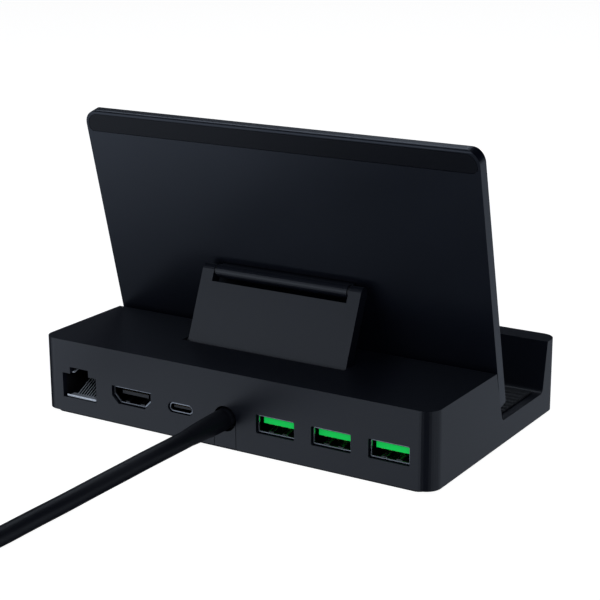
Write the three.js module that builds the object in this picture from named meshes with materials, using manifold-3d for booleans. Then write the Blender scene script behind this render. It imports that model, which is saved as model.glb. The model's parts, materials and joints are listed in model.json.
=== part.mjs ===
// A fold-flat docking stand for a handheld games console, with its captive cable.
// Units are millimetres, +Z is up, +Y is the rear face with the sockets, and the
// origin is the centre of the base's footprint on the table.
import * as THREE from "three";
import { mergeVertices } from "three/addons/utils/BufferGeometryUtils.js";
import Module from "manifold-3d";

const wasm = await Module();
wasm.setup();

// ---------------------------------------------------------------- base
const BASE_WIDTH = 144.8;
const BASE_DEPTH = 87.5;
const BASE_TOP = 25.4;
const CORNER_RADIUS = 4.9;
const WALL = 2.0;
const GAP = 0.3; // between pieces that touch
const MAT_THICKNESS = 0.65;
const MAT_SIDE_INSET = 3.5;
const MAT_END_INSET = 1.0;
const MAT_CORNER = 3.2;
const HOUSING_BOTTOM = MAT_THICKNESS + 0.2;
const COVER_THICKNESS = 1.5;

// ---------------------------------------------------------------- console tray
const LIP_TOP_THICKNESS = 7.9;
const LIP_FOOT_THICKNESS = 10.9;
const TRAY_DEPTH = 30.2;
const BLOCK_FACE_RUN = 5.2; // how far the block's front face leans back
const TRAY_FLOOR = 8.6;
const TRAY_FILLET = 1.4;
const PAD_THICKNESS = 0.5;
const PAD_SIDE_MARGIN = 3.0;
const RIB_HEIGHT = 0.5;
const RIB_WIDTH = 1.5;
const RIB_PITCH = 2.9;

// ---------------------------------------------------------------- strut and its two hinges
const STRUT_WIDTH = 59.7;
const STRUT_THICKNESS = 4.0;
const STRUT_LENGTH = 24.85; // lower hinge axis to upper hinge axis
const STRUT_LEAN = 22.57; // degrees, top towards the front
const STRUT_SETBACK = 16.75; // top of the block's front face to lower hinge axis
const HINGE_DEPTH = 2.0; // lower hinge axis below the base's top
const FOLD_ANGLE = 48; // degrees that the strut swings forward
const NOTCH_WIDTH = 50.8;
const NOTCH_DEPTH = 3.9; // below the upper hinge axis
const PIN_RADIUS = 1.0;
const BORE_PLAY = 0.16; // radial, round a pin
const WELL_SIDE_GAP = 0.8;
const WELL_PLAY = 0.85; // round the strut in its well
const ROD_SEAT = 4.5; // length of the hinge rod held beyond each side of the well
const WELL_REAR_GAP = 4.2; // lower hinge axis to the well's rear edge

// ---------------------------------------------------------------- back panel
const PANEL_WIDTH = 143.9;
const PANEL_BELOW_AXIS = 36.1;
const PANEL_ABOVE_AXIS = 50.9;
const PANEL_THICKNESS = 3.9;
const PANEL_LEAN = 13.42; // degrees, top towards the rear
const PANEL_AXIS_OFFSET = 3.5; // upper hinge axis to the panel's back
const PANEL_CORNER = 4.9;
const PANEL_FOOT_CORNER = 1.5;
const PANEL_FOOT_ROUND = 2.0;
const PANEL_TOP_ROUND = 1.0; // along the top edge, both faces
const PANEL_RIM = 1.6;
const PANEL_FOOT_RIM = 3.2;
const PANEL_BACK_WALL = 1.4;
const FRONT_PLATE_THICKNESS = 1.0;
const GRIP_RECESS = 0.5;
const GRIP_THICKNESS = 0.8;
const GRIP_MARGIN = 9.0;
const STRIP_HEIGHT = 6.2;
const STRIP_MARGIN = 0.9;
const STRIP_TOP_MARGIN = 1.15;
const STRIP_FOOT_CORNER = 1.8;
const STRIP_RECESS = 0.6;
const BARREL_RADIUS = 2.15;
const BARREL_END_GAP = 0.7; // barrel to ear, each side
const LEAF_ARM = 2.4;
const LEAF_HEIGHT = 11.0;
const LEAF_THICKNESS = 0.9;
const LEAF_SCREW = { radius: 0.7, head: 1.4, play: 0.15, z: -3.6 };
const STIFFENER_THICKNESS = 0.7;
const WASHER_THICKNESS = 0.4;
const WASHER_RADIUS = 1.9;

// ---------------------------------------------------------------- sockets on the rear face
const NETWORK = { x: 57.5, z: 10.0, width: 13.85, height: 8.3, notch: 7.6, rise: 2.3 };
const VIDEO = { x: 36.25, z: 10.35, width: 15.6, height: 5.9 };
const POWER = { x: 16.95, z: 10.25, width: 9.5, height: 3.5 };
const USB = { first: -18.4, pitch: 19.7, count: 3, z: 10.8, width: 13.75, height: 6.1 };
const SHELL_SHEET = 0.3;
const SHELL_RECESS = 1.0; // behind the rear face
const POWER_RECESS = 0.6;
const CUTOUT_PLAY = 0.3; // round a shell in its cut-out
const NETWORK_DEPTH = 18;
const NETWORK_WALL = 0.65;
const WIRE = { pitch: 1.02, width: 0.36, thickness: 0.4 };
const VIDEO_DEPTH = 11;
const POWER_DEPTH = 8.5;
const USB_DEPTH = 14;
const TONGUE = { width: 11.1, thickness: 1.84, above: 0.85, recess: 1.6 };

// ---------------------------------------------------------------- electronics
const BOARD_TOP = 7.2;
const BOARD_THICKNESS = 1.6;
const BOARD_SIDE_GAP = 4.9; // from the base's side
const BOARD_SETBACK = 3.45; // behind the top of the block's front face
const BOSS_RADIUS = 2.6;
const SCREW_RADIUS = 1.0;
const SCREW_HEAD_RADIUS = 2.0;
const SCREW_HEAD = 0.8;
const COVER_SCREW_INSET = { front: 10.4, rear: 8.4, fromFront: 16.75, fromBlock: 9.45 };
const HUB_CHIP = { width: 9, height: 1.2 };
const TRANSFORMER = { width: 9, depth: 9, height: 5 };
const BALLAST = { halfWidth: 54, fromFront: 12.75, depth: 26, thickness: 3.2 };

// ---------------------------------------------------------------- cable
const CABLE_RADIUS = 2.7;
const EXIT_Z = 10.2;
const EXIT_RADIUS = 4.15;
const RELIEF_RADIUS = 3.4;
const RELIEF_TIP_RADIUS = 3.0;
const RELIEF_LENGTH = 20;
const RELIEF_INSIDE = 6;
const INNER_LEAD_LENGTH = 13;
const CLAMP_DEPTH = 4.5;
const FLANGE_RADIUS = 5.6;
const FLANGE_THICKNESS = 1.6;
const LEAD_ROUTE = [
  [0, 50, 10.2], [0, 57, 10.2], [0, 64, 10.1], [0.5, 70, 9.8], [1.5, 76, 9.2],
  [3.1, 82, 8.2], [5.2, 88, 6.8], [7.2, 94, 5.5], [9.0, 100, 4.3], [10.3, 106, 3.4],
  [11.1, 112, 2.9], [11.4, 118, 2.75], [11.4, 125, 2.75], [11.4, 133, 2.75],
];
const TAIL_ROUTE = [
  [77.6, 142, 6.6], [79.2, 136, 5.4], [80.8, 130, 4.1], [81.8, 124, 3.3], [82.0, 118, 3.2],
];
const COIL = { x: 43.6, y: 160, middle: 29.5, turns: 2 };
const TIE = { thickness: 0.5, width: 12, angle: 250 };
const PLUG = { reliefLength: 9, width: 11.6, height: 6.4, length: 22, shellLength: 6.6 };
const PLUG_SHELL = { width: 8.25, height: 2.4, sheet: 0.3 };

// ---------------------------------------------------------------- places that follow from these
const FRONT = -BASE_DEPTH / 2;
const REAR = BASE_DEPTH / 2;
const SIDE = BASE_WIDTH / 2;
const LIP_TOP = FRONT + LIP_TOP_THICKNESS;
const LIP_FOOT = FRONT + LIP_FOOT_THICKNESS;
const BLOCK_FOOT = LIP_FOOT + TRAY_DEPTH;
const BLOCK_TOP = BLOCK_FOOT + BLOCK_FACE_RUN;
const HINGE_Y = BLOCK_TOP + STRUT_SETBACK;
const HINGE_Z = BASE_TOP - HINGE_DEPTH;
const WELL_HALF = STRUT_WIDTH / 2 + WELL_SIDE_GAP;
const COVER_BOTTOM = HOUSING_BOTTOM + 0.1;
const COVER_TOP = COVER_BOTTOM + COVER_THICKNESS;
const BARREL_HALF = NOTCH_WIDTH / 2 - BARREL_END_GAP;
const BACK_Y = -PANEL_AXIS_OFFSET; // the panel's faces, in the panel's own frame
const FACE_Y = BACK_Y - PANEL_THICKNESS;
const ROD_END = WELL_HALF + WALL + ROD_SEAT;
const CLAMP_FRONT = REAR - SHELL_RECESS - USB_DEPTH - 1 - CLAMP_DEPTH; // clear of the USB sockets
const COVER_SCREWS = [-1, 1].flatMap((side) => [
  [side * (SIDE - COVER_SCREW_INSET.front), FRONT + COVER_SCREW_INSET.fromFront],
  [side * (SIDE - COVER_SCREW_INSET.rear), BLOCK_TOP + COVER_SCREW_INSET.fromBlock],
]);
const BOARD_SCREWS = [-1, 1].map((side) => [side * (ROD_END + BOSS_RADIUS + GAP), HINGE_Y - GAP]);
const ROUND_STEPS = 5; // segments in a quarter circle

// ---------------------------------------------------------------- solids and booleans
function solid(geometry) {
  geometry.deleteAttribute("normal");
  geometry.deleteAttribute("uv");
  const merged = mergeVertices(geometry, 1e-4);
  return new wasm.Manifold(
    new wasm.Mesh({
      numProp: 3,
      vertProperties: new Float32Array(merged.attributes.position.array),
      triVerts: new Uint32Array(merged.index.array),
    }),
  );
}

function geometryOf(made) {
  const mesh = made.getMesh();
  const places = new Float32Array(mesh.numVert * 3);
  for (let i = 0; i < mesh.numVert; i += 1) {
    const from = i * mesh.numProp;
    places.set(mesh.vertProperties.subarray(from, from + 3), i * 3);
  }
  const geometry = new THREE.BufferGeometry();
  geometry.setAttribute("position", new THREE.BufferAttribute(places, 3));
  geometry.setIndex(new THREE.BufferAttribute(new Uint32Array(mesh.triVerts), 1));
  geometry.computeVertexNormals();
  return geometry;
}

const cut = (from, ...tools) => tools.reduce((made, tool) => made.subtract(tool), from);
const join = (first, ...others) => others.reduce((made, other) => made.add(other), first);

// ---------------------------------------------------------------- shapes
function box(x0, x1, y0, y1, z0, z1) {
  const geometry = new THREE.BoxGeometry(x1 - x0, y1 - y0, z1 - z0);
  return solid(geometry.translate((x0 + x1) / 2, (y0 + y1) / 2, (z0 + z1) / 2));
}

function roundedRectangle(halfWidth, low, high, radii) {
  const [bottom, top] = radii;
  const shape = new THREE.Shape();
  shape.moveTo(-halfWidth + bottom, low);
  shape.lineTo(halfWidth - bottom, low);
  shape.absarc(halfWidth - bottom, low + bottom, bottom, -Math.PI / 2, 0, false);
  shape.lineTo(halfWidth, high - top);
  shape.absarc(halfWidth - top, high - top, top, 0, Math.PI / 2, false);
  shape.lineTo(-halfWidth + top, high);
  shape.absarc(-halfWidth + top, high - top, top, Math.PI / 2, Math.PI, false);
  shape.lineTo(-halfWidth, low + bottom);
  shape.absarc(-halfWidth + bottom, low + bottom, bottom, Math.PI, 1.5 * Math.PI, false);
  return shape;
}

function outline(points) {
  return new THREE.Shape(points.map(([u, v]) => new THREE.Vector2(u, v)));
}

function extrude(shape, length, steps) {
  return new THREE.ExtrudeGeometry(shape, {
    depth: length,
    bevelEnabled: false,
    curveSegments: steps ?? ROUND_STEPS,
  });
}

// A plan in x and y, from z0 up to z1.
function prismZ(shape, z0, z1) {
  return solid(extrude(shape, z1 - z0).translate(0, 0, z0));
}

// A profile in y and z, along X from x0 to x1.
function prismX(shape, x0, x1) {
  const turn = new THREE.Matrix4().makeBasis(
    new THREE.Vector3(0, 1, 0),
    new THREE.Vector3(0, 0, 1),
    new THREE.Vector3(1, 0, 0),
  );
  return solid(extrude(shape, x1 - x0).applyMatrix4(turn).translate(x0, 0, 0));
}

// An outline in x and z, along Y from y0 to y1.
function prismY(shape, y0, y1) {
  const turn = new THREE.Matrix4().makeBasis(
    new THREE.Vector3(1, 0, 0),
    new THREE.Vector3(0, 0, 1),
    new THREE.Vector3(0, -1, 0),
  );
  return solid(extrude(shape, y1 - y0).applyMatrix4(turn).translate(0, y1, 0));
}

function plate(inset, radius, z0, z1) {
  const shape = roundedRectangle(SIDE - inset, FRONT + inset, REAR - inset, [radius, radius]);
  return prismZ(shape, z0, z1);
}

function rodX(radius, x0, x1, y, z, sides = 16) {
  const geometry = new THREE.CylinderGeometry(radius, radius, x1 - x0, sides);
  return solid(geometry.rotateZ(Math.PI / 2).translate((x0 + x1) / 2, y, z));
}

function rodY(radius, y0, y1, x, z, sides = 20) {
  const geometry = new THREE.CylinderGeometry(radius, radius, y1 - y0, sides);
  return solid(geometry.translate(x, (y0 + y1) / 2, z));
}

function rodZ(radius, z0, z1, x, y, sides = 16) {
  const geometry = new THREE.CylinderGeometry(radius, radius, z1 - z0, sides);
  return solid(geometry.rotateX(Math.PI / 2).translate(x, y, (z0 + z1) / 2));
}

// A turned solid: the profile holds [radius, height] points and starts and ends on the axis.
function turned(profile, sides = 16) {
  return new THREE.LatheGeometry(profile.map(([r, h]) => new THREE.Vector2(r, h)), sides);
}

// ---------------------------------------------------------------- materials
function finish(colour, roughness, metalness) {
  return new THREE.MeshStandardMaterial({ color: colour, roughness, metalness });
}
const blackPlastic = () => finish(0x0f1117, 0.5, 0);
const panelCoat = () => finish(0x0b0d12, 0.32, 0);
const stripGloss = () => finish(0x07080c, 0.2, 0);
const blackRubber = () => finish(0x08090c, 0.8, 0);
const cableJacket = () => finish(0x0a0b0f, 0.55, 0);
const plating = () => finish(0x9a9ca0, 0.25, 1);
const gold = () => finish(0xc79a45, 0.3, 1);
const greenPlastic = () => finish(0x0ed250, 0.4, 0);
const socketPlastic = () => finish(0x08080a, 0.5, 0);
const zincSteel = () => finish(0x85888c, 0.4, 1);
const darkWasher = () => finish(0x101115, 0.5, 0);
const circuitBoard = () => finish(0x0c3a24, 0.5, 0);
const chipResin = () => finish(0x111214, 0.6, 0);
const aluminium = () => finish(0xb4b7ba, 0.35, 1);

const root = new THREE.Group();

function node(parent, name, made, material) {
  const geometry = made.isBufferGeometry ? made : geometryOf(made);
  const mesh = new THREE.Mesh(geometry, material);
  mesh.name = name;
  parent.add(mesh);
  return mesh;
}

// ---------------------------------------------------------------- base housing
function housingProfile() {
  const shape = new THREE.Shape();
  shape.moveTo(FRONT - 1, HOUSING_BOTTOM);
  shape.lineTo(FRONT - 1, BASE_TOP);
  shape.lineTo(LIP_TOP, BASE_TOP);
  shape.lineTo(LIP_FOOT - 0.25 * TRAY_FILLET, TRAY_FLOOR + TRAY_FILLET);
  shape.quadraticCurveTo(LIP_FOOT, TRAY_FLOOR, LIP_FOOT + TRAY_FILLET, TRAY_FLOOR);
  shape.lineTo(BLOCK_FOOT - TRAY_FILLET, TRAY_FLOOR);
  shape.quadraticCurveTo(BLOCK_FOOT, TRAY_FLOOR, BLOCK_FOOT + 0.4 * TRAY_FILLET, TRAY_FLOOR + TRAY_FILLET);
  shape.lineTo(BLOCK_TOP, BASE_TOP);
  shape.lineTo(REAR + 1, BASE_TOP);
  shape.lineTo(REAR + 1, HOUSING_BOTTOM);
  return shape;
}

function cavityProfile() {
  return outline([
    [FRONT + WALL, 0],
    [REAR - WALL, 0],
    [REAR - WALL, BASE_TOP - WALL],
    [BLOCK_TOP + WALL, BASE_TOP - WALL],
    [BLOCK_FOOT + WALL, TRAY_FLOOR - WALL],
    [LIP_FOOT - WALL, TRAY_FLOOR - WALL],
    [LIP_TOP - WALL, BASE_TOP - WALL],
    [FRONT + WALL, BASE_TOP - WALL],
  ]);
}

// The strut's well: a ramp that the folded strut lies over, and a round bed for its foot.
function wellProfile(thick) {
  const ramp = THREE.MathUtils.degToRad(90 - STRUT_LEAN - FOLD_ANGLE);
  const below = (STRUT_THICKNESS / 2 + WELL_PLAY) / Math.cos(ramp);
  const bed = HINGE_Z - STRUT_THICKNESS / 2 - WELL_PLAY;
  const rise = (z) => HINGE_Y - (z + below - HINGE_Z) / Math.tan(ramp);
  const rim = BASE_TOP + (thick ? 0 : 1);
  const bedFront = Math.min(rise(bed), HINGE_Y - 1);
  return outline([
    [rise(rim) - thick / Math.sin(ramp), rim],
    [bedFront - thick, bed - thick],
    [HINGE_Y + 2 + thick, bed - thick],
    [HINGE_Y + WELL_REAR_GAP + thick, bed + 1.8],
    [HINGE_Y + WELL_REAR_GAP + thick, rim],
  ]);
}

function usbPlaces() {
  return Array.from({ length: USB.count }, (_, i) => USB.first - i * USB.pitch);
}

function socketShape(x, size, radius) {
  const low = size.z - size.height / 2;
  const shape = roundedRectangle(size.width / 2, low, low + size.height, [radius, radius]);
  return { shape, x };
}

function networkOutline(grow) {
  const half = NETWORK.width / 2 + grow;
  const notch = NETWORK.notch / 2 + grow;
  const low = NETWORK.z - NETWORK.height / 2 - grow;
  const high = NETWORK.z + NETWORK.height / 2 + grow;
  return outline([
    [NETWORK.x - half, low], [NETWORK.x + half, low], [NETWORK.x + half, high],
    [NETWORK.x + notch, high], [NETWORK.x + notch, high + NETWORK.rise],
    [NETWORK.x - notch, high + NETWORK.rise], [NETWORK.x - notch, high], [NETWORK.x - half, high],
  ]);
}

function videoOutline(grow) {
  const half = VIDEO.width / 2 + grow;
  const low = VIDEO.z - VIDEO.height / 2 - grow;
  const high = VIDEO.z + VIDEO.height / 2 + grow;
  const slope = VIDEO.height * 0.42;
  return outline([
    [VIDEO.x - half + slope, low], [VIDEO.x + half - slope, low],
    [VIDEO.x + half, low + slope], [VIDEO.x + half, high],
    [VIDEO.x - half, high], [VIDEO.x - half, low + slope],
  ]);
}

function roundSocket(size, x, grow, radius) {
  const half = size.width / 2 + grow;
  const low = size.z - size.height / 2 - grow;
  const high = size.z + size.height / 2 + grow;
  const made = prismY(roundedRectangle(half, low, high, [radius, radius]), -30, 0);
  return (y0, y1) => made.scale([1, (y1 - y0) / 30, 1]).translate([x, y1, 0]);
}

function exitSlot(grow) {
  const half = EXIT_RADIUS + grow;
  const shape = new THREE.Shape();
  shape.moveTo(-half, HOUSING_BOTTOM - 1);
  shape.lineTo(half, HOUSING_BOTTOM - 1);
  shape.lineTo(half, EXIT_Z);
  shape.absarc(0, EXIT_Z, half, 0, Math.PI, false);
  return shape;
}

function rearCutouts() {
  const y0 = REAR - WALL - 1;
  const y1 = REAR + 1;
  const usbHole = (x) => roundSocket(USB, x, 0, 0.5)(y0, y1);
  return [
    prismY(networkOutline(0), y0, y1),
    prismY(videoOutline(0), y0, y1),
    roundSocket(POWER, POWER.x, 0, POWER.height / 2 - 0.01)(y0, y1),
    prismY(exitSlot(0), y0, y1),
    ...usbPlaces().map(usbHole),
  ];
}

function bosses() {
  const cover = COVER_SCREWS.map(([x, y]) => rodZ(BOSS_RADIUS, COVER_TOP + GAP, BASE_TOP - 1, x, y));
  const board = BOARD_SCREWS.map(([x, y]) => rodZ(BOSS_RADIUS, BOARD_TOP + GAP, BASE_TOP - 1, x, y));
  return [...cover, ...board];
}

function screwHoles() {
  const hole = SCREW_RADIUS + BORE_PLAY;
  const cover = COVER_SCREWS.map(([x, y]) => rodZ(hole, 0, COVER_TOP + 3.4, x, y, 12));
  const board = BOARD_SCREWS.map(([x, y]) => rodZ(hole, 0, BOARD_TOP + 4.4, x, y, 12));
  return [...cover, ...board];
}

function topHousing() {
  const envelope = plate(0, CORNER_RADIUS, HOUSING_BOTTOM - 1, BASE_TOP + 1);
  const outer = prismX(housingProfile(), -SIDE - 1, SIDE + 1).intersect(envelope);
  const inner = plate(WALL, CORNER_RADIUS - WALL, -1, BASE_TOP);
  const hollow = prismX(cavityProfile(), -SIDE, SIDE).intersect(inner);
  const wellWall = prismX(wellProfile(WALL), -WELL_HALF - WALL, WELL_HALF + WALL);
  const kept = cut(hollow, wellWall, ...bosses());
  const well = prismX(wellProfile(0), -WELL_HALF, WELL_HALF);
  const rodHole = rodX(PIN_RADIUS + BORE_PLAY, -ROD_END - GAP, ROD_END + GAP, HINGE_Y, HINGE_Z);
  return cut(outer, kept, well, rodHole, ...rearCutouts(), ...screwHoles());
}

function bottomCover() {
  const made = plate(WALL + GAP, CORNER_RADIUS - WALL, COVER_BOTTOM, COVER_TOP);
  const holes = COVER_SCREWS.map(([x, y]) => rodZ(SCREW_RADIUS + BORE_PLAY, 0, COVER_TOP + 1, x, y, 12));
  const seat = SCREW_HEAD_RADIUS + GAP;
  const seats = COVER_SCREWS.map(([x, y]) => rodZ(seat, 0, COVER_BOTTOM + SCREW_HEAD + 0.1, x, y));
  return cut(made, ...holes, ...seats);
}

// A screw with its head at z0 and its tip upwards.
function screw(z0, length) {
  const profile = [
    [0, 0.35], [0.7, 0.35], [0.7, 0], [SCREW_HEAD_RADIUS, 0], [SCREW_HEAD_RADIUS, SCREW_HEAD - 0.1],
    [SCREW_RADIUS, SCREW_HEAD - 0.1], [SCREW_RADIUS, length - 0.5], [0, length],
  ];
  return turned(profile, 12).rotateX(Math.PI / 2).translate(0, 0, z0);
}

function footMat() {
  const half = SIDE - MAT_SIDE_INSET;
  const radii = [MAT_CORNER, MAT_CORNER];
  const shape = roundedRectangle(half, FRONT + MAT_END_INSET, REAR - MAT_END_INSET, radii);
  return prismZ(shape, 0, MAT_THICKNESS);
}

function trayPad() {
  const half = SIDE - PAD_SIDE_MARGIN;
  const low = TRAY_FLOOR + 0.2;
  const top = low + PAD_THICKNESS;
  const front = LIP_FOOT + TRAY_FILLET + GAP;
  const rear = BLOCK_FOOT - TRAY_FILLET - GAP;
  const points = [[front, low], [rear, low], [rear, top]];
  const ribs = Math.floor((rear - front - 1) / RIB_PITCH);
  for (let i = 0; i < ribs; i += 1) {
    const y = rear - 1 - i * RIB_PITCH;
    points.push([y, top], [y - 0.3, top + RIB_HEIGHT]);
    points.push([y - RIB_WIDTH + 0.3, top + RIB_HEIGHT], [y - RIB_WIDTH, top]);
  }
  points.push([front, top]);
  return prismX(outline(points), -half, half);
}

function exitPlate() {
  const play = 0.2;
  const slot = prismY(exitSlot(-play), REAR - WALL, REAR);
  const above = box(-EXIT_RADIUS - 1, EXIT_RADIUS + 1, REAR - WALL - 1, REAR + 1, EXIT_Z, BASE_TOP);
  const under = box(-EXIT_RADIUS - 1, EXIT_RADIUS + 1, REAR - WALL - 1, REAR + 1, -1, COVER_BOTTOM);
  return cut(slot, above, under, rodY(EXIT_RADIUS, REAR - WALL - 1, REAR + 1, 0, EXIT_Z, 24));
}

function strainRelief() {
  const profile = [
    [0, -RELIEF_INSIDE], [FLANGE_RADIUS - 1, -RELIEF_INSIDE], [FLANGE_RADIUS, -RELIEF_INSIDE + 1],
    [FLANGE_RADIUS, -RELIEF_INSIDE + FLANGE_THICKNESS + 1],
    [RELIEF_RADIUS, -RELIEF_INSIDE + FLANGE_THICKNESS + 1], [RELIEF_RADIUS, 1],
    [RELIEF_TIP_RADIUS, RELIEF_LENGTH - 0.4], [RELIEF_TIP_RADIUS - 0.3, RELIEF_LENGTH], [0, RELIEF_LENGTH],
  ];
  return turned(profile, 20).translate(0, REAR, EXIT_Z);
}

// ---------------------------------------------------------------- sockets
function networkShell() {
  const y1 = REAR - WALL - GAP;
  const outer = prismY(networkOutline(NETWORK_WALL), y1 - NETWORK_DEPTH, y1);
  const inner = prismY(networkOutline(0.15), y1 - NETWORK_DEPTH + 1, REAR);
  return cut(outer, inner);
}

// Eight spring wires that rise from the front of the jack's floor to a comb at its back wall.
function networkContacts() {
  const back = REAR - WALL - GAP - NETWORK_DEPTH + 1.4;
  const low = NETWORK.z - NETWORK.height / 2 + 0.3;
  const y1 = REAR - WALL - 1.4;
  const { pitch, width, thickness } = WIRE;
  const made = [box(NETWORK.x - 5, NETWORK.x + 5, back, back + 1.2, low, low + 6.4)];
  for (let i = 0; i < 8; i += 1) {
    const x = NETWORK.x + (i - 3.5) * pitch;
    const wire = outline([
      [back + 0.4, low + 5.6], [y1, low + 0.1], [y1, low + 0.1 + thickness],
      [back + 0.4, low + 5.6 + thickness],
    ]);
    made.push(prismX(wire, x - width / 2, x + width / 2));
  }
  return join(...made);
}

function videoShell() {
  const y1 = REAR - SHELL_RECESS;
  const outer = prismY(videoOutline(-CUTOUT_PLAY), y1 - VIDEO_DEPTH, y1);
  return cut(outer, prismY(videoOutline(-CUTOUT_PLAY - SHELL_SHEET), y1 - VIDEO_DEPTH + 1, y1 + 1));
}

function videoTongue() {
  const back = REAR - SHELL_RECESS - VIDEO_DEPTH + 1 + GAP;
  const { x, z } = VIDEO;
  const block = box(x - 5.2, x + 5.2, back, back + 1.5, z - 1.6, z + 2);
  return join(block, box(x - 5.2, x + 5.2, back, REAR - SHELL_RECESS - 1.4, z, z + 1.1));
}

function powerShell() {
  const y1 = REAR - POWER_RECESS;
  const radius = POWER.height / 2 - CUTOUT_PLAY - 0.01;
  const outer = roundSocket(POWER, POWER.x, -CUTOUT_PLAY, radius)(y1 - POWER_DEPTH, y1);
  const grow = -CUTOUT_PLAY - SHELL_SHEET;
  return cut(outer, roundSocket(POWER, POWER.x, grow, radius - SHELL_SHEET)(y1 - POWER_DEPTH + 1, y1 + 1));
}

function powerTongue() {
  const { x, z } = POWER;
  const back = REAR - POWER_RECESS - POWER_DEPTH + 1 + GAP;
  const block = box(x - 3.3, x + 3.3, back, back + 1, z - 0.8, z + 0.8);
  return join(block, box(x - 3.3, x + 3.3, back, REAR - POWER_RECESS - 0.8, z - 0.35, z + 0.35));
}

function usbShell(x) {
  const y1 = REAR - SHELL_RECESS;
  const outer = roundSocket(USB, x, -CUTOUT_PLAY, 0.4)(y1 - USB_DEPTH, y1);
  return cut(outer, roundSocket(USB, x, -CUTOUT_PLAY - SHELL_SHEET, 0.2)(y1 - USB_DEPTH + 1, y1 + 1));
}

function usbTongue(x) {
  const back = REAR - SHELL_RECESS - USB_DEPTH + 1 + GAP;
  const top = USB.z + USB.height / 2 - CUTOUT_PLAY - SHELL_SHEET - TONGUE.above;
  const low = USB.z - USB.height / 2 + CUTOUT_PLAY + SHELL_SHEET + GAP;
  const half = TONGUE.width / 2;
  const tip = REAR - SHELL_RECESS - TONGUE.recess;
  const block = box(x - half, x + half, back, back + 4, low, top);
  const blade = box(x - half, x + half, back, tip, top - TONGUE.thickness, top);
  return join(block, blade);
}

// Four contact strips on the underside of a tongue, joined behind it.
function usbContacts(x) {
  const back = REAR - SHELL_RECESS - USB_DEPTH + 1 + GAP + 4 + GAP;
  const under = TONGUE.above + TONGUE.thickness + 0.15;
  const top = USB.z + USB.height / 2 - CUTOUT_PLAY - SHELL_SHEET - under;
  const made = [box(x - 4.1, x + 4.1, back, back + 0.8, top - 0.5, top)];
  for (let i = 0; i < 4; i += 1) {
    const place = x + (i - 1.5) * 2.3;
    made.push(box(place - 0.55, place + 0.55, back, REAR - SHELL_RECESS - 3.4, top - 0.3, top));
  }
  return join(...made);
}

// ---------------------------------------------------------------- electronics and ballast
function mainBoard() {
  const z0 = BOARD_TOP - BOARD_THICKNESS;
  const rear = REAR - WALL - 1.2;
  const half = SIDE - BOARD_SIDE_GAP;
  const board = box(-half, half, BLOCK_TOP + BOARD_SETBACK, rear, z0, BOARD_TOP);
  const clear = NETWORK.width / 2 + NETWORK_WALL + 0.9;
  const bayFront = REAR - WALL - NETWORK_DEPTH - 2.4;
  const jackBay = box(NETWORK.x - clear, NETWORK.x + clear, bayFront, rear + 1, 0, 20);
  const bayEnd = Math.min(REAR - RELIEF_INSIDE - INNER_LEAD_LENGTH - 1, CLAMP_FRONT - GAP);
  const exitBay = box(-9, 9, bayEnd, rear + 1, 0, 20);
  const posts = COVER_SCREWS.map(([x, y]) => rodZ(BOSS_RADIUS + 0.6, 0, 20, x, y));
  const holes = BOARD_SCREWS.map(([x, y]) => rodZ(SCREW_RADIUS + BORE_PLAY, 0, 20, x, y, 12));
  return cut(board, jackBay, exitBay, ...posts, ...holes);
}

function chip(x, y, width, depth, height) {
  const z0 = BOARD_TOP + GAP;
  return box(x - width / 2, x + width / 2, y - depth / 2, y + depth / 2, z0, z0 + height);
}

function hubChip() {
  return chip(0, BLOCK_TOP + 14, HUB_CHIP.width, HUB_CHIP.width, HUB_CHIP.height);
}

// Beside the boss of the board's screw, on the side of the network jack.
function networkTransformer() {
  const { width, depth, height } = TRANSFORMER;
  const boss = BOARD_SCREWS[1][0] + BOSS_RADIUS;
  return chip(boss + GAP + width / 2, BLOCK_TOP + 11, width, depth, height);
}

function heatSpreader() {
  const low = BOARD_TOP + GAP + HUB_CHIP.height + GAP;
  const front = BLOCK_TOP + 6.5;
  const wings = box(-30, 30, front, front + 14, low + 1, low + 2);
  return join(wings, box(-10, 10, front + 2, front + 13, low, low + 1.5));
}

function cableClamp() {
  const [y0, y1] = [CLAMP_FRONT, CLAMP_FRONT + CLAMP_DEPTH];
  const top = EXIT_Z + CABLE_RADIUS + 1.6;
  const bridge = box(-13, 13, y0, y1, BOARD_TOP + GAP, top);
  const keel = box(-8, 8, y0, y1, EXIT_Z - CABLE_RADIUS - 2.4, top);
  return cut(join(bridge, keel), rodY(CABLE_RADIUS + GAP, y0 - 1, y1 + 1, 0, EXIT_Z));
}

// The lead inside the case, from the strain relief to the board.
function innerLead() {
  const y1 = REAR - RELIEF_INSIDE - GAP;
  return rodY(CABLE_RADIUS, y1 - INNER_LEAD_LENGTH, y1, 0, EXIT_Z, 12);
}

function ballastPlate() {
  const { halfWidth, fromFront, depth, thickness } = BALLAST;
  const front = FRONT + fromFront;
  return box(-halfWidth, halfWidth, front, front + depth, COVER_TOP + GAP, COVER_TOP + GAP + thickness);
}

function washer(x, y, z) {
  const x1 = x + WASHER_THICKNESS;
  return cut(rodX(WASHER_RADIUS, x, x1, y, z), rodX(PIN_RADIUS + BORE_PLAY, x - 1, x1 + 1, y, z));
}

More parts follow.
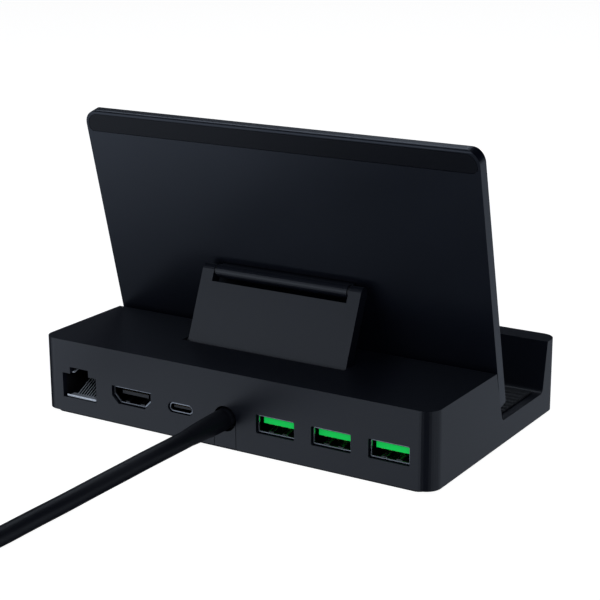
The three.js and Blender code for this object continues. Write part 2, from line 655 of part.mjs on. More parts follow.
// ---------------------------------------------------------------- strut, in its own frame
// The lower hinge axis is the frame's X axis, and the strut runs up its Z axis.
function strutPlate() {
  const half = STRUT_THICKNESS / 2;
  const shape = new THREE.Shape();
  shape.moveTo(half, 0);
  shape.lineTo(half, STRUT_LENGTH);
  shape.absarc(0, STRUT_LENGTH, half, 0, Math.PI, false);
  shape.lineTo(-half, 0);
  shape.absarc(0, 0, half, Math.PI, 2 * Math.PI, false);
  const made = prismX(shape, -STRUT_WIDTH / 2, STRUT_WIDTH / 2);
  const bore = PIN_RADIUS + BORE_PLAY;
  const low = STRUT_LENGTH - NOTCH_DEPTH;
  const notch = box(-NOTCH_WIDTH / 2, NOTCH_WIDTH / 2, -half - 1, half + 1, low, STRUT_LENGTH + half + 1);
  const capBore = (x) => rodX(1.6, x - 0.9, x + 0.9, 0, STRUT_LENGTH);
  return cut(
    made,
    notch,
    rodX(bore, -SIDE, SIDE, 0, 0),
    rodX(bore, -SIDE, SIDE, 0, STRUT_LENGTH),
    capBore(-STRUT_WIDTH / 2),
    capBore(STRUT_WIDTH / 2),
  );
}

function panelPin() {
  const half = STRUT_WIDTH / 2 - 0.9 - GAP;
  return rodX(PIN_RADIUS, -half, half, 0, STRUT_LENGTH);
}

function pinCap(side) {
  const outer = side * (STRUT_WIDTH / 2 - 0.05);
  const inner = side * (STRUT_WIDTH / 2 - 0.7);
  return rodX(1.42, Math.min(outer, inner), Math.max(outer, inner), 0, STRUT_LENGTH);
}

// ---------------------------------------------------------------- panel, in its own frame
// The upper hinge axis is the frame's X axis, the panel runs up its Z axis, and its back faces +Y.
function panelProfile() {
  const round = PANEL_FOOT_ROUND;
  const top = PANEL_TOP_ROUND;
  const low = -PANEL_BELOW_AXIS;
  const high = PANEL_ABOVE_AXIS;
  const shape = new THREE.Shape();
  shape.moveTo(BACK_Y, low + 0.4);
  shape.lineTo(BACK_Y, high - top);
  shape.absarc(BACK_Y - top, high - top, top, 0, Math.PI / 2, false);
  shape.lineTo(FACE_Y + top, high);
  shape.absarc(FACE_Y + top, high - top, top, Math.PI / 2, Math.PI, false);
  shape.lineTo(FACE_Y, low + round);
  shape.absarc(FACE_Y + round, low + round, round, Math.PI, 1.5 * Math.PI, false);
  shape.lineTo(BACK_Y - 0.4, low);
  return shape;
}

function panelOutline(inset, footInset) {
  const low = -PANEL_BELOW_AXIS + footInset;
  const high = PANEL_ABOVE_AXIS - inset;
  const foot = Math.max(PANEL_FOOT_CORNER - inset, 0.3);
  return roundedRectangle(PANEL_WIDTH / 2 - inset, low, high, [foot, PANEL_CORNER - inset]);
}

function stripOutline(grow) {
  const half = PANEL_WIDTH / 2 - STRIP_MARGIN + grow;
  const high = PANEL_ABOVE_AXIS - STRIP_TOP_MARGIN + grow;
  const low = high - STRIP_HEIGHT - 2 * grow;
  const corner = PANEL_CORNER - STRIP_MARGIN + grow;
  return roundedRectangle(half, low, high, [STRIP_FOOT_CORNER + grow, corner]);
}

function leafScrewPlaces() {
  return [-16, 16];
}

function panelBack() {
  const outer = prismX(panelProfile(), -PANEL_WIDTH, PANEL_WIDTH)
    .intersect(prismY(panelOutline(0, 0), FACE_Y - 1, BACK_Y + 1));
  const pocket = prismY(panelOutline(PANEL_RIM, PANEL_FOOT_RIM), FACE_Y - 1, BACK_Y - PANEL_BACK_WALL);
  const strip = prismY(stripOutline(0), BACK_Y - STRIP_RECESS, BACK_Y + 1);
  const arm = LEAF_ARM / 2 + GAP;
  const slot = box(-BARREL_HALF - GAP, BARREL_HALF + GAP, BACK_Y - 2, BACK_Y + 1, -arm, arm);
  const { radius, play, z } = LEAF_SCREW;
  const blind = leafScrewPlaces().map((x) => rodY(radius + play, BACK_Y - 3, BACK_Y - 0.5, x, z, 12));
  return cut(outer, pocket, strip, slot, ...blind);
}

function panelFront() {
  const low = PANEL_FOOT_RIM + GAP;
  const made = prismY(panelOutline(PANEL_RIM + GAP, low), FACE_Y, FACE_Y + FRONT_PLATE_THICKNESS);
  return cut(made, prismY(gripOutline(0), FACE_Y - 1, FACE_Y + GRIP_RECESS));
}

function gripOutline(grow) {
  const half = PANEL_WIDTH / 2 - GRIP_MARGIN + grow;
  const low = -PANEL_BELOW_AXIS + GRIP_MARGIN - grow;
  return roundedRectangle(half, low, PANEL_ABOVE_AXIS - GRIP_MARGIN + grow, [4, 4]);
}

function gripPad() {
  const back = FACE_Y + GRIP_RECESS - 0.2;
  return prismY(gripOutline(-GAP), back - GRIP_THICKNESS, back);
}

function stiffener() {
  const back = BACK_Y - PANEL_BACK_WALL - 0.2;
  const inset = PANEL_RIM + GAP;
  const made = prismY(panelOutline(inset, PANEL_FOOT_RIM + GAP), back - STIFFENER_THICKNESS, back);
  const half = LEAF_HEIGHT / 2 + 0.5;
  return cut(made, box(-BARREL_HALF - 1, BARREL_HALF + 1, back - 2, back + 1, -half, half));
}

function topStrip() {
  return prismY(stripOutline(-0.15), BACK_Y - STRIP_RECESS + 0.15, BACK_Y - 0.05);
}

// The barrel, the arm that enters the panel and the leaf screwed inside it.
function hingeLeaf() {
  const leafBack = BACK_Y - PANEL_BACK_WALL - 0.2;
  const barrel = rodX(BARREL_RADIUS, -BARREL_HALF, BARREL_HALF, 0, 0, 24);
  const arm = box(-BARREL_HALF, BARREL_HALF, leafBack - 0.5, -0.5, -LEAF_ARM / 2, LEAF_ARM / 2);
  const face = leafBack - LEAF_THICKNESS;
  const leaf = box(-BARREL_HALF, BARREL_HALF, face, leafBack, -LEAF_HEIGHT / 2, LEAF_HEIGHT / 2);
  const { radius, head, play, z } = LEAF_SCREW;
  const holes = leafScrewPlaces().map((x) => rodY(radius + play, face - 1, leafBack + 1, x, z, 12));
  const seats = leafScrewPlaces().map((x) => rodY(head + play, face - 1, face + 0.45, x, z, 12));
  const bore = rodX(PIN_RADIUS + BORE_PLAY, -SIDE, SIDE, 0, 0);
  return cut(join(barrel, arm, leaf), bore, ...holes, ...seats);
}

function leafScrew(x) {
  const leafBack = BACK_Y - PANEL_BACK_WALL - 0.2;
  const { radius, head, z } = LEAF_SCREW;
  const profile = [[0, 0.05], [head, 0.05], [head, 0.3], [radius, 0.3], [radius, 1.7], [0, 1.7]];
  return turned(profile, 12).translate(x, leafBack - LEAF_THICKNESS, z);
}

// ---------------------------------------------------------------- cable
function tube(points, radius, steps) {
  const path = new THREE.CatmullRomCurve3(points.map(([x, y, z]) => new THREE.Vector3(x, y, z)));
  const section = new THREE.Shape();
  section.absarc(0, 0, radius, 0, 2 * Math.PI, false);
  return new THREE.ExtrudeGeometry(section, {
    steps,
    extrudePath: path,
    curveSegments: 10,
    bevelEnabled: false,
  });
}

function coilBounds() {
  const reach = COIL.turns * CABLE_RADIUS + 0.25;
  const low = TIE.thickness + GAP;
  return { inner: COIL.middle - reach, outer: COIL.middle + reach, low, high: low + 2 * reach };
}

function ring(inner, outer, low, high, chamfer) {
  const profile = [
    [inner + chamfer, low], [outer - chamfer, low], [outer, low + chamfer], [outer, high - chamfer],
    [outer - chamfer, high], [inner + chamfer, high], [inner, high - chamfer], [inner, low + chamfer],
    [inner + chamfer, low],
  ];
  return solid(turned(profile, 40).rotateX(Math.PI / 2)).translate([COIL.x, COIL.y, 0]);
}

function cableCoil() {
  const { inner, outer, low, high } = coilBounds();
  return ring(inner, outer, low, high, 1.6);
}

function cableTie() {
  const { inner, outer, low, high } = coilBounds();
  const far = GAP + TIE.thickness;
  const band = cut(
    ring(inner - far, outer + far, low - far, high + far, 1.6),
    ring(inner - GAP, outer + GAP, low - GAP, high + GAP, 1.5),
  );
  const reach = COIL.middle * 2;
  const slice = box(0, reach, -TIE.width / 2, TIE.width / 2, -1, high + 5);
  return band.intersect(slice.rotate([0, 0, TIE.angle]).translate([COIL.x, COIL.y, 0]));
}

function plugPlace() {
  const [x, y, z] = TAIL_ROUTE[TAIL_ROUTE.length - 1];
  return { x, y: y - GAP, z };
}

function plugRelief() {
  const { x, y, z } = plugPlace();
  const length = PLUG.reliefLength;
  return turned([[0, -length], [2.98, -length], [2.98, -length + 0.5], [2.9, -0.4], [2.7, 0], [0, 0]], 16)
    .translate(x, y, z);
}

function plugBody() {
  const { x, y, z } = plugPlace();
  const y1 = y - PLUG.reliefLength - GAP;
  const half = PLUG.height / 2;
  const shape = roundedRectangle(PLUG.width / 2, z - half, z + half, [2.6, 2.6]);
  return prismY(shape, y1 - PLUG.length, y1).translate([x, 0, 0]);
}

function plugShell() {
  const { x, y, z } = plugPlace();
  const y1 = y - PLUG.reliefLength - PLUG.length - 2 * GAP;
  const half = PLUG_SHELL.height / 2;
  const inside = half - PLUG_SHELL.sheet;
  const outer = roundedRectangle(PLUG_SHELL.width / 2, z - half, z + half, [half - 0.01, half - 0.01]);
  const wide = PLUG_SHELL.width / 2 - PLUG_SHELL.sheet;
  const inner = roundedRectangle(wide, z - inside, z + inside, [inside - 0.01, inside - 0.01]);
  const hollow = prismY(inner, y1 - PLUG.shellLength - 1, y1 - 1);
  return cut(prismY(outer, y1 - PLUG.shellLength, y1), hollow).translate([x, 0, 0]);
}

// ---------------------------------------------------------------- assembly
function addBase() {
  const base = new THREE.Group();
  node(base, "top_housing", topHousing(), blackPlastic());
  node(base, "bottom_cover", bottomCover(), blackPlastic());
  node(base, "foot_mat", footMat(), blackRubber());
  node(base, "tray_pad", trayPad(), blackRubber());
  node(base, "cable_exit_plate", exitPlate(), blackPlastic());
  node(base, "main_board", mainBoard(), circuitBoard());
  node(base, "hub_chip", hubChip(), chipResin());
  node(base, "network_transformer", networkTransformer(), chipResin());
  node(base, "heat_spreader", heatSpreader(), aluminium());
  node(base, "ballast_plate", ballastPlate(), zincSteel());
  node(base, "cable_clamp", cableClamp(), socketPlastic());
  node(base, "cable_inner_lead", innerLead(), cableJacket());
  node(base, "network_jack_shell", networkShell(), socketPlastic());
  node(base, "network_jack_contacts", networkContacts(), gold());
  node(base, "video_socket_shell", videoShell(), plating());
  node(base, "video_socket_tongue", videoTongue(), socketPlastic());
  node(base, "power_socket_shell", powerShell(), plating());
  node(base, "power_socket_tongue", powerTongue(), socketPlastic());
  usbPlaces().forEach((x, i) => {
    node(base, `usb_socket_shell_${i + 1}`, usbShell(x), plating());
    node(base, `usb_socket_tongue_${i + 1}`, usbTongue(x), greenPlastic());
    node(base, `usb_socket_contacts_${i + 1}`, usbContacts(x), gold());
  });
  COVER_SCREWS.forEach(([x, y], i) => {
    node(base, `cover_screw_${i + 1}`, screw(COVER_BOTTOM, 4.4), zincSteel()).position.set(x, y, 0);
  });
  BOARD_SCREWS.forEach(([x, y], i) => {
    const low = BOARD_TOP - BOARD_THICKNESS - SCREW_HEAD;
    node(base, `board_screw_${i + 1}`, screw(low, 6), zincSteel()).position.set(x, y, 0);
  });
  addHingeRod(base);
  return base;
}

// A block under each end of the hinge rod, which holds it up in its groove in the roof.
function rodClip(side) {
  const near = side * (WELL_HALF + WALL + GAP);
  const far = side * ROD_END;
  const top = Math.min(HINGE_Z, BASE_TOP - WALL) - GAP;
  const [x0, x1] = [Math.min(near, far), Math.max(near, far)];
  const block = box(x0, x1, HINGE_Y - 3, HINGE_Y + 3, HINGE_Z - PIN_RADIUS - 1.6, top);
  return cut(block, rodX(PIN_RADIUS + BORE_PLAY, x0 - 1, x1 + 1, HINGE_Y, HINGE_Z));
}

function addHingeRod(base) {
  node(base, "strut_hinge_rod", rodX(PIN_RADIUS, -ROD_END, ROD_END, HINGE_Y, HINGE_Z), zincSteel());
  const place = (WELL_SIDE_GAP - WASHER_THICKNESS) / 2 + STRUT_WIDTH / 2;
  [["left", -1], ["right", 1]].forEach(([name, side]) => {
    const x = side > 0 ? place : -place - WASHER_THICKNESS;
    node(base, `rod_clip_${name}`, rodClip(side), zincSteel());
    node(base, `strut_washer_${name}`, washer(x, HINGE_Y, HINGE_Z), darkWasher());
  });
}

function addStrut(parent) {
  const strut = new THREE.Group();
  strut.position.set(0, HINGE_Y, HINGE_Z);
  strut.rotation.x = THREE.MathUtils.degToRad(STRUT_LEAN);
  node(strut, "strut_plate", strutPlate(), blackPlastic());
  node(strut, "panel_hinge_pin", panelPin(), zincSteel());
  node(strut, "pin_cap_left", pinCap(-1), blackPlastic());
  node(strut, "pin_cap_right", pinCap(1), blackPlastic());
  parent.add(strut);
  return strut;
}

function addPanel(strut) {
  const panel = new THREE.Group();
  panel.position.set(0, 0, STRUT_LENGTH);
  panel.rotation.x = -THREE.MathUtils.degToRad(STRUT_LEAN + PANEL_LEAN);
  node(panel, "panel_back", panelBack(), panelCoat());
  node(panel, "panel_front", panelFront(), blackPlastic());
  node(panel, "panel_grip_pad", gripPad(), blackRubber());
  node(panel, "panel_stiffener", stiffener(), zincSteel());
  node(panel, "panel_top_strip", topStrip(), stripGloss());
  node(panel, "panel_hinge_leaf", hingeLeaf(), blackPlastic());
  leafScrewPlaces().forEach((x, i) => {
    node(panel, `leaf_screw_${i + 1}`, leafScrew(x), zincSteel());
  });
  const place = BARREL_HALF + (BARREL_END_GAP - WASHER_THICKNESS) / 2;
  node(panel, "panel_washer_left", washer(-place - WASHER_THICKNESS, 0, 0), darkWasher());
  node(panel, "panel_washer_right", washer(place, 0, 0), darkWasher());
  strut.add(panel);
}

function addCable() {
  const cable = new THREE.Group();
  const tip = [0, REAR + RELIEF_LENGTH + GAP, EXIT_Z];
  const lead = [tip, ...LEAD_ROUTE.filter(([, y]) => y > tip[1] + 2)];
  node(cable, "strain_relief", strainRelief(), cableJacket());
  node(cable, "cable_lead", tube(lead, CABLE_RADIUS, 20), cableJacket());
  node(cable, "cable_coil", cableCoil(), cableJacket());
  node(cable, "cable_tie", cableTie(), blackRubber());
  node(cable, "cable_tail", tube(TAIL_ROUTE, CABLE_RADIUS, 10), cableJacket());
  node(cable, "plug_relief", plugRelief(), cableJacket());
  node(cable, "plug_body", plugBody(), blackPlastic());
  node(cable, "plug_shell", plugShell(), plating());
  return cable;
}

root.add(addBase());
addPanel(addStrut(root));
root.add(addCable());

export default root;
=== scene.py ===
"""The looks of a handheld console docking stand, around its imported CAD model. Metres, +Z up."""

import json
import math

import bmesh
import bpy
from mathutils import Matrix, Vector


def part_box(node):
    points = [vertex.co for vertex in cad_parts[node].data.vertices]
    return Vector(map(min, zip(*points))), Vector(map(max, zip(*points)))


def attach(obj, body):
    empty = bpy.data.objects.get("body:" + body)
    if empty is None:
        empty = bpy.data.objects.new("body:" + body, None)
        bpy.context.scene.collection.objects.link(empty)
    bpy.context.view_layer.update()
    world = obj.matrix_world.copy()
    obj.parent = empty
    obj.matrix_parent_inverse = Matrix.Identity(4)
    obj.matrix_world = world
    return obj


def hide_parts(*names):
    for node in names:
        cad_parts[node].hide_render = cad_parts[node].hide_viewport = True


MM = 0.001

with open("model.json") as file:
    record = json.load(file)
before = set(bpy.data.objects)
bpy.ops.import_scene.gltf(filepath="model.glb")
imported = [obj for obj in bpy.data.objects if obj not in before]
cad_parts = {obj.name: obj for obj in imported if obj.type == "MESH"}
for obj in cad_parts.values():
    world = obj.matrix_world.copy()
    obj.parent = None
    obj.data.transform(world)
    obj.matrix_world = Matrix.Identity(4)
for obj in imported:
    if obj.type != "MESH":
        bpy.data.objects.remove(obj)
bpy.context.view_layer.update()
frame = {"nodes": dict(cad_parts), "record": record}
nodes = frame["nodes"]

# ---------------------------------------------------------------- camera
CAMERA_PLACE = Vector((-269.56, 430.92, 183.76)) * MM
CAMERA_AIM = Vector((-0.3, 0.0, 37.6)) * MM
CAMERA_LENS = 97.3  # on a 36 mm sensor
CAMERA_ROLL = math.radians(-0.27)


def make_camera():
    data = bpy.data.cameras.new("camera")
    data.lens = CAMERA_LENS
    data.sensor_width = 36
    data.clip_start = 0.01
    camera = bpy.data.objects.new("camera", data)
    bpy.context.scene.collection.objects.link(camera)
    look = (CAMERA_AIM - CAMERA_PLACE).to_track_quat("-Z", "Y").to_matrix().to_4x4()
    roll = Matrix.Rotation(CAMERA_ROLL, 4, "Z")
    camera.matrix_world = Matrix.Translation(CAMERA_PLACE) @ look @ roll
    bpy.context.scene.camera = camera


make_camera()

# ---------------------------------------------------------------- node helpers


def new_material(name, colour, roughness, metallic=0.0, **sockets):
    """A material with a Principled shader, its constant values on the shader's own sockets."""
    material = bpy.data.materials.new(name)
    material.use_nodes = True
    shader = material.node_tree.nodes["Principled BSDF"]
    shader.inputs["Base Color"].default_value = (*colour, 1)
    shader.inputs["Roughness"].default_value = roughness
    shader.inputs["Metallic"].default_value = metallic
    for socket, value in sockets.items():
        shader.inputs[socket.replace("_", " ")].default_value = value
    return material


def shader_of(material):
    return material.node_tree.nodes["Principled BSDF"]


def coordinates(tree, stretch=(1, 1, 1)):
    """The piece's own coordinates in millimetres, stretched along an axis for streaks."""
    source = tree.nodes.new("ShaderNodeTexCoord")
    mapping = tree.nodes.new("ShaderNodeMapping")
    mapping.inputs["Scale"].default_value = [1000 * s for s in stretch]
    tree.links.new(source.outputs["Object"], mapping.inputs["Vector"])
    return mapping.outputs["Vector"]


def noise(tree, vector, size_mm, detail=3.0, rough=0.5):
    """A noise texture whose features are about size_mm across."""
    node = tree.nodes.new("ShaderNodeTexNoise")
    node.inputs["Scale"].default_value = 1 / size_mm
    node.inputs["Detail"].default_value = detail
    node.inputs["Roughness"].default_value = rough
    tree.links.new(vector, node.inputs["Vector"])
    return node.outputs["Fac"]


def spread(tree, value, low, high, from_low=0.3, from_high=0.7):
    """value, which runs from from_low to from_high, spread over low to high."""
    node = tree.nodes.new("ShaderNodeMapRange")
    node.inputs["From Min"].default_value = from_low
    node.inputs["From Max"].default_value = from_high
    node.inputs["To Min"].default_value = low
    node.inputs["To Max"].default_value = high
    tree.links.new(value, node.inputs["Value"])
    return node.outputs["Result"]


def two_colours(tree, value, first, second):
    """first where value is 0.3 and second where it is 0.7."""
    ramp = tree.nodes.new("ShaderNodeValToRGB")
    ramp.color_ramp.elements[0].position = 0.3
    ramp.color_ramp.elements[0].color = (*first, 1)
    ramp.color_ramp.elements[1].position = 0.7
    ramp.color_ramp.elements[1].color = (*second, 1)
    tree.links.new(value, ramp.inputs["Fac"])
    return ramp.outputs["Color"]


def bump(tree, height, depth_mm, strength, normal=None):
    node = tree.nodes.new("ShaderNodeBump")
    node.inputs["Distance"].default_value = depth_mm * MM
    node.inputs["Strength"].default_value = strength
    tree.links.new(height, node.inputs["Height"])
    if normal is not None:
        tree.links.new(normal, node.inputs["Normal"])
    return node.outputs["Normal"]


# ---------------------------------------------------------------- materials


def textured(name, colour, shade, roughness, grain_mm, grain_depth, grain_strength=0.35, **sockets):
    """A moulded surface: a fine grain, broad faint mottling in colour, and roughness that varies with it."""
    material = new_material(name, colour, roughness, **sockets)
    tree, shader = material.node_tree, shader_of(material)
    place = coordinates(tree)
    broad = noise(tree, place, 18, 4, 0.55)
    fine = noise(tree, place, grain_mm, 2, 0.5)
    darker = [c * (1 - shade) for c in colour]
    lighter = [c * (1 + shade) for c in colour]
    tree.links.new(two_colours(tree, broad, darker, lighter), shader.inputs["Base Color"])
    tree.links.new(spread(tree, fine, roughness * 0.92, roughness * 1.08), shader.inputs["Roughness"])
    tree.links.new(bump(tree, fine, grain_depth, grain_strength), shader.inputs["Normal"])
    return material


def streaked_metal(name, colour, roughness, stretch):
    """Plated sheet: fine streaks along the rolling direction and a few cloudy stains."""
    material = new_material(name, colour, roughness, 1.0)
    tree, shader = material.node_tree, shader_of(material)
    streak = noise(tree, coordinates(tree, stretch), 0.4, 3)
    cloud = noise(tree, coordinates(tree), 3.5, 3)
    darker = [c * 0.8 for c in colour]
    tree.links.new(two_colours(tree, cloud, darker, colour), shader.inputs["Base Color"])
    tree.links.new(spread(tree, streak, roughness * 0.75, roughness * 1.35), shader.inputs["Roughness"])
    tree.links.new(bump(tree, streak, 0.01, 0.25), shader.inputs["Normal"])
    return material


def board_material():
    """Green solder mask with the faint pattern of the copper under it."""
    material = new_material("board_green", (0.01, 0.09, 0.04), 0.35)
    tree, shader = material.node_tree, shader_of(material)
    tracks = tree.nodes.new("ShaderNodeTexBrick")
    tracks.inputs["Scale"].default_value = 0.5
    tracks.inputs["Mortar Size"].default_value = 0.06
    tracks.inputs["Color1"].default_value = (0.008, 0.085, 0.035, 1)
    tracks.inputs["Color2"].default_value = (0.01, 0.1, 0.045, 1)
    tracks.inputs["Mortar"].default_value = (0.016, 0.15, 0.065, 1)
    tree.links.new(coordinates(tree), tracks.inputs["Vector"])
    tree.links.new(tracks.outputs["Color"], shader.inputs["Base Color"])
    tree.links.new(bump(tree, tracks.outputs["Fac"], 0.03, 0.3), shader.inputs["Normal"])
    return material


PLATING = (0.62, 0.63, 0.65)
PLATING_STREAKS = (0.3, 0.05, 1)
SHELL_DEPTH_MM = 1.5  # from the rim to where a shell's painted shade is darkest
SHELL_RIM = (0.24, 0.25, 0.27, 1)
# painted shade: the near-black colour deep inside a shell stands in for the shade there
SHELL_PAINTED_SHADE = (0.006, 0.006, 0.008, 1)
SHELL_PAINTED_LIGHT_STOPS = [(0.02, 0.26), (0.04, 0.85), (0.25, 0.6), (0.5, 0.012)]  # share of the depth, brightness: a painted highlight just inside the mouth, then painted shade deeper in
SHELL_BLUE = 1.03


def shell_plating_with_painted_light(name, rim_mm):
    """Plated sheet with bare, dull cut edges at the rim, a painted highlight just inside the mouth and
    painted shade further inside.
    """
    material = streaked_metal(name, PLATING, 0.3, PLATING_STREAKS)
    tree, shader = material.node_tree, shader_of(material)
    place = tree.nodes.new("ShaderNodeSeparateXYZ")
    tree.links.new(coordinates(tree), place.inputs["Vector"])
    depth = spread(tree, place.outputs["Y"], 1, 0, rim_mm - SHELL_DEPTH_MM, rim_mm)
    # The ramp paints light and shade by depth from the rim: a painted highlight at the mouth, painted shade
    # inside.
    ramp = tree.nodes.new("ShaderNodeValToRGB")
    stops = ramp.color_ramp.elements
    stops[0].position, stops[0].color = 0.0, SHELL_RIM
    stops[1].position, stops[1].color = 1.0, SHELL_PAINTED_SHADE
    for position, level in SHELL_PAINTED_LIGHT_STOPS:
        stop = stops.new(position)
        stop.color = (level, level, level * SHELL_BLUE, 1)
    tree.links.new(depth, ramp.inputs["Fac"])
    tree.links.new(ramp.outputs["Color"], shader.inputs["Base Color"])
    return material


COAT = {"Specular_Tint": (0.84, 0.9, 1, 1)}
LOW_SHINE = {"Specular_IOR_Level": 0.23}
SOFT_SHINE = {"Specular_IOR_Level": 0.32}
# The green plastic's emission is a painted glow, its strength set at the tongue's tip.
GREEN_PAINTED_GLOW = {"Emission_Color": (0.0, 0.6, 0.1, 1), "Emission_Strength": 0, "Specular_IOR_Level": 0.12}
PAINTED_GLOW_TIP = 0.3  # how bright the painted glow is at a tongue's tip
PAINTED_GLOW_START_MM = 0.25  # where the painted glow starts, behind the tip
# where the painted glow is full, behind the tip
PAINTED_GLOW_FULL_MM = 0.05


def matt_tin():
    """Dull tinned wire, which scatters most of its light."""
    material = streaked_metal("matt_tin", (0.78, 0.8, 0.82), 0.4, PLATING_STREAKS)
    shader_of(material).inputs["Metallic"].default_value = 0.3
    return material


def painted_glow_at_tip(material, tip_mm):
    """Paints a glow onto a tongue at its tip only, though the plastic is no lamp."""
    tree, shader = material.node_tree, shader_of(material)
    place = tree.nodes.new("ShaderNodeSeparateXYZ")
    tree.links.new(coordinates(tree), place.inputs["Vector"])
    start, full = tip_mm - PAINTED_GLOW_START_MM, tip_mm - PAINTED_GLOW_FULL_MM
    painted_glow = spread(tree, place.outputs["Y"], 0, PAINTED_GLOW_TIP, start, full)
    tree.links.new(painted_glow, shader.inputs["Emission Strength"])


def make_materials():
    return {
        "case_plastic": textured("case_plastic", (0.002, 0.0028, 0.0065), 0.12, 0.4, 0.22, 0.012),
        "panel_coating": textured(
            "panel_coating", (0.0024, 0.003, 0.006), 0.1, 0.32, 0.35, 0.004, 0.2, **COAT
        ),
        "strip_gloss": textured(
            "strip_gloss", (0.0016, 0.0022, 0.0045), 0.1, 0.36, 0.5, 0.002, 0.15, **LOW_SHINE
        ),
        "black_rubber": textured("black_rubber", (0.004, 0.0045, 0.006), 0.2, 0.7, 0.3, 0.03, 0.5),
        "cable_jacket": textured(
            "cable_jacket", (0.003, 0.0034, 0.006), 0.15, 0.5, 0.3, 0.012, 0.3, **SOFT_SHINE
        ),
        "socket_plating": streaked_metal("socket_plating", PLATING, 0.22, PLATING_STREAKS),
        "contact_gold": streaked_metal("contact_gold", (0.85, 0.62, 0.28), 0.2, PLATING_STREAKS),
        # the green plastic carries a painted glow at the tongues' tips
        "green_plastic": textured("green_plastic", (0.003, 0.62, 0.07), 0.08, 0.35, 0.5, 0.01, 0.2, **GREEN_PAINTED_GLOW),
        "socket_plastic": textured("socket_plastic", (0.004, 0.004, 0.005), 0.15, 0.45, 0.4, 0.01),
        "matt_tin": matt_tin(),
        "steel": streaked_metal("steel", (0.5, 0.51, 0.53), 0.35, (0.05, 1, 1)),
        "board_green": board_material(),
        "chip_resin": textured("chip_resin", (0.012, 0.012, 0.013), 0.2, 0.55, 0.15, 0.01),
        "aluminium": streaked_metal("aluminium", (0.75, 0.76, 0.78), 0.3, (0.05, 1, 1)),
    }


materials = make_materials()
slot_of = {row["node"]: row["material_slot"] for row in frame["record"]["subparts"]}


# ---------------------------------------------------------------- mesh helpers
# Sizes in the functions below are in millimetres; the points of the cable's route are in metres.


def make_piece(name, parts, slot, body="base", smooth_deg=35):
    """One object from parts, each a (points in metres, faces) pair, finished with its slot's material."""
    mesh = bpy.data.meshes.new(name)
    points, faces = [], []
    for part_points, part_faces in parts:
        start = len(points)
        points += [tuple(p) for p in part_points]
        faces += [tuple(start + i for i in face) for face in part_faces]
    mesh.from_pydata(points, [], faces)
    work = bmesh.new()
    work.from_mesh(mesh)
    bmesh.ops.recalc_face_normals(work, faces=work.faces)
    work.to_mesh(mesh)
    work.free()
    mesh.set_sharp_from_angle(angle=math.radians(smooth_deg))
    for polygon in mesh.polygons:
        polygon.use_smooth = True
    piece = bpy.data.objects.new(name, mesh)
    bpy.context.scene.collection.objects.link(piece)
    mesh.materials.append(materials[slot])
    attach(piece, body)
    return piece


def soften(piece, width_mm, segments=2, angle_deg=30):
    """Rounds a piece's edges."""
    bevel = piece.modifiers.new("round_edges", "BEVEL")
    bevel.width = width_mm * MM
    bevel.segments = segments
    bevel.limit_method = "ANGLE"
    bevel.angle_limit = math.radians(angle_deg)
    bevel.harden_normals = True
    return piece


def loft(rings):
    """A closed body through rings of as many points each, with a face across each end."""
    count = len(rings[0])
    points = [p for ring in rings for p in ring]
    faces = []
    for i in range(len(rings) - 1):
        for j in range(count):
            k = (j + 1) % count
            faces.append((i * count + j, i * count + k, (i + 1) * count + k, (i + 1) * count + j))
    last = (len(rings) - 1) * count
    faces += [tuple(reversed(range(count))), tuple(range(last, last + count))]
    return points, faces


def lathe_y(profile, place, sides=40):
    """A body turned about a line along Y: profile holds (radius, distance along Y) in millimetres."""
    rings = []
    for radius, along in profile:
        turn = [2 * math.pi * j / sides for j in range(sides)]
        rings.append([place + Vector((radius * math.cos(a), along, radius * math.sin(a))) * MM for a in turn])
    return loft(rings)


def strip(profile, thickness, x0, x1):
    """A sheet-metal strip from x0 to x1, whose middle line in Y and Z is bent through profile."""
    above, below = [], []
    for i, (y, z) in enumerate(profile):
        before = profile[max(i - 1, 0)]
        after = profile[min(i + 1, len(profile) - 1)]
        along = Vector((after[0] - before[0], after[1] - before[1])).normalized()
        off = Vector((-along.y, along.x)) * thickness / 2
        above.append((y + off.x, z + off.y))
        below.append((y - off.x, z - off.y))
    outline = above + below[::-1]
    return loft([[Vector((x, y, z)) * MM for y, z in outline] for x in (x0, x1)])


def block(x0, x1, y0, y1, z0, z1):
    """A block, used only as a part of a larger piece."""
    corners = [(y0, z0), (y1, z0), (y1, z1), (y0, z1)]
    return loft([[Vector((x, y, z)) * MM for y, z in corners] for x in (x0, x1)])


def stadium(width, height, y, place, power=2.6, sides=40):
    """A rounded cross-section across Y, of a superellipse in millimetres round place."""
    ring = []
    for j in range(sides):
        angle = 2 * math.pi * j / sides
        c, s = math.cos(angle), math.sin(angle)
        x = math.copysign(abs(c) ** (2 / power), c) * width / 2
        z = math.copysign(abs(s) ** (2 / power), s) * height / 2
        ring.append(place + Vector((x, y, z)) * MM)
    return ring


def ease(value, start, end):
    """0 before start, 1 after end, smoothly between."""
    t = min(max((value - start) / (end - start), 0), 1)
    return t * t * (3 - 2 * t)


